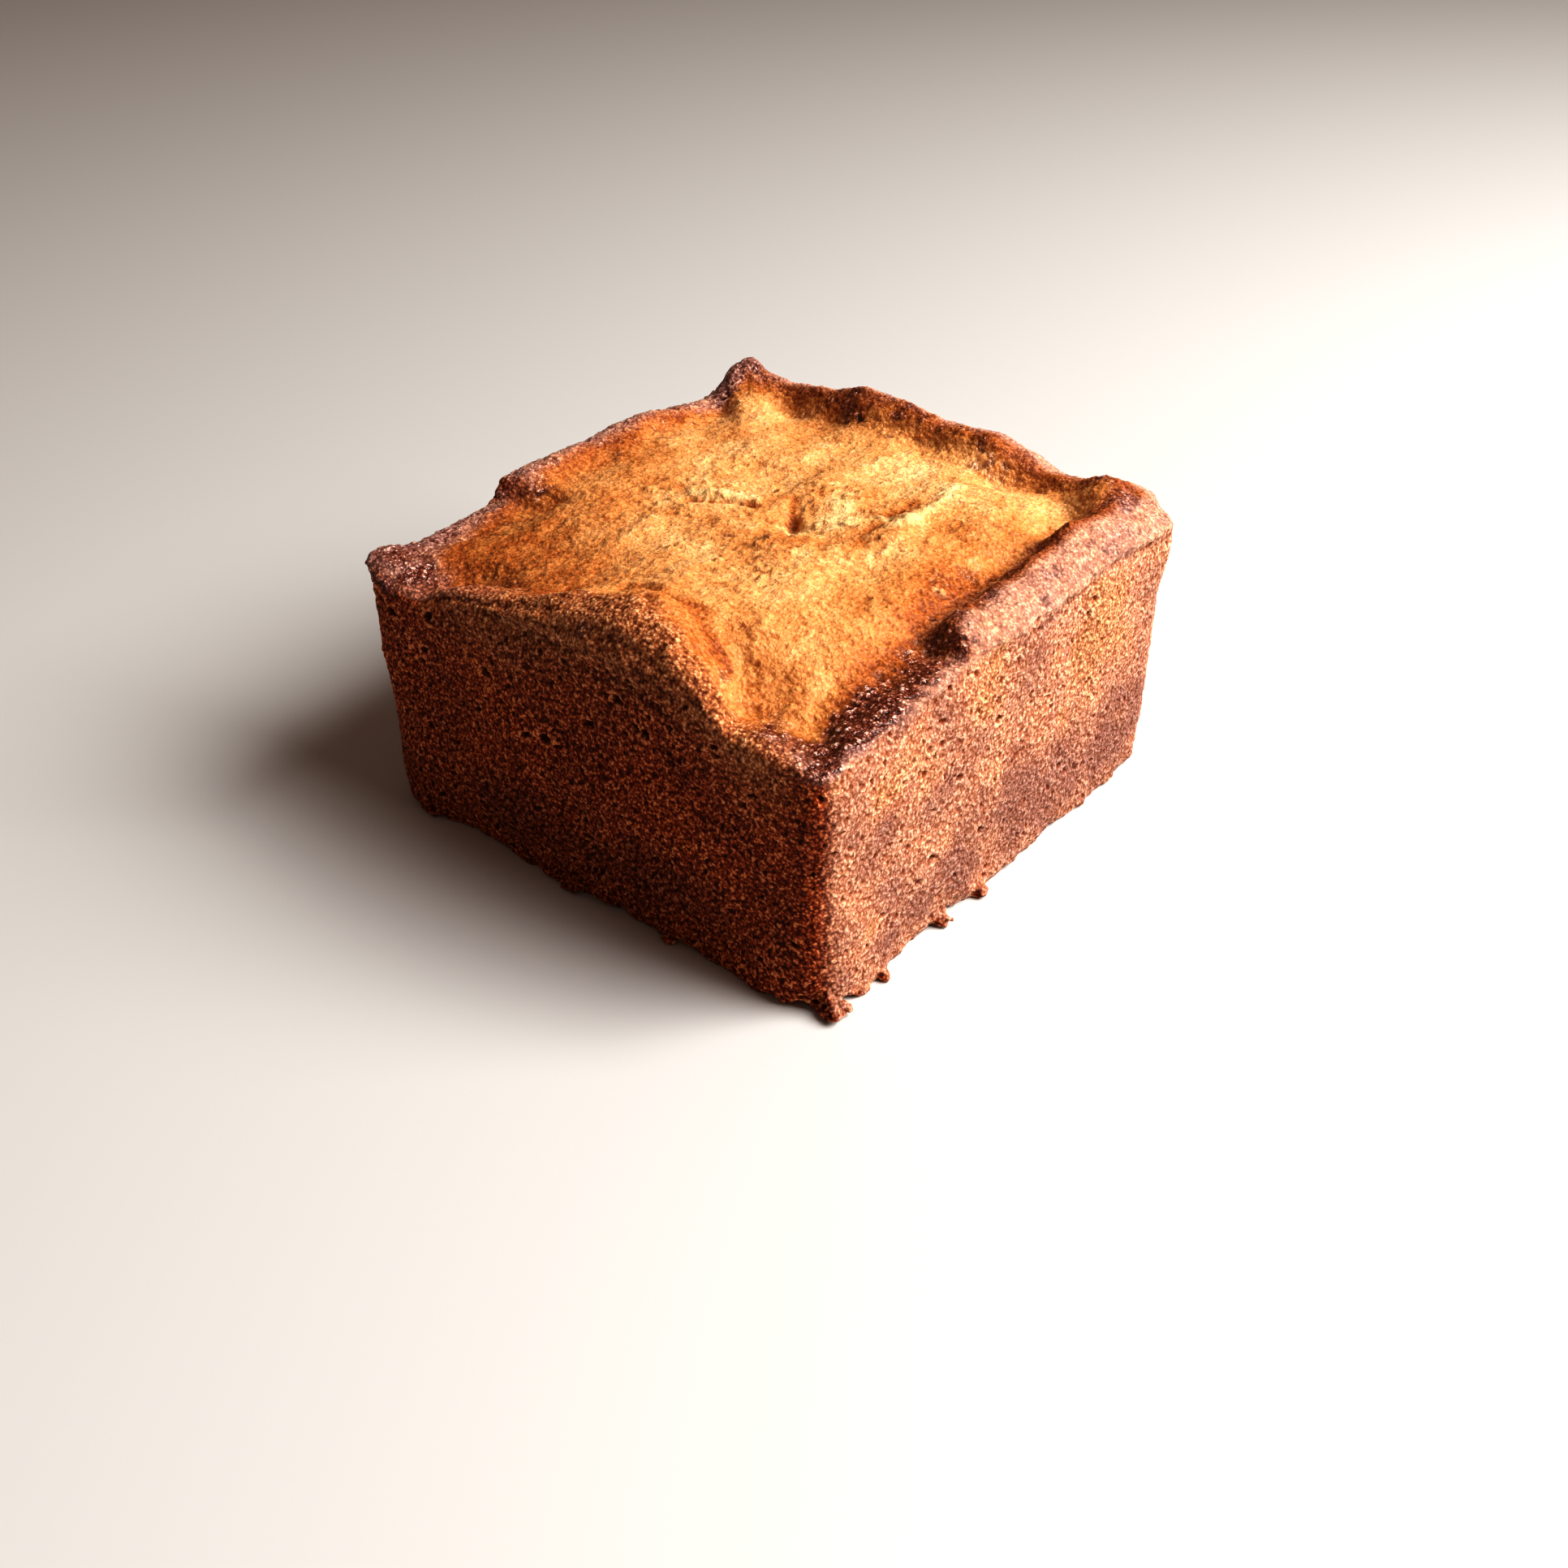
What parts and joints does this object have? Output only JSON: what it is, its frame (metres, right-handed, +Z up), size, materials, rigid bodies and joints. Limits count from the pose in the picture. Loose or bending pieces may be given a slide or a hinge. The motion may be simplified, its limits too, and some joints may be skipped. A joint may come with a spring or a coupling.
{
  "type": "ginger cake",
  "caption": "Small square ginger cake with upright crumb walls, an uneven dark crust rim that peaks at the corners, and a low domed golden top with a shallow cracked dip.",
  "frame": {"origin": "centre of the cake's base, on the surface it stands on", "axes": "+Z up; +X out of the wall that was in the light, +Y out of the back right wall; the low front corner is at +X, -Y"},
  "size_m": [0.0936, 0.0938, 0.0508],
  "materials": {
    "crumb": "matte baked crumb, with a darker and partly glossy crust rim"
  },
  "bodies": {
    "root": {"cake": "crumb"}
  },
  "joints": []
}
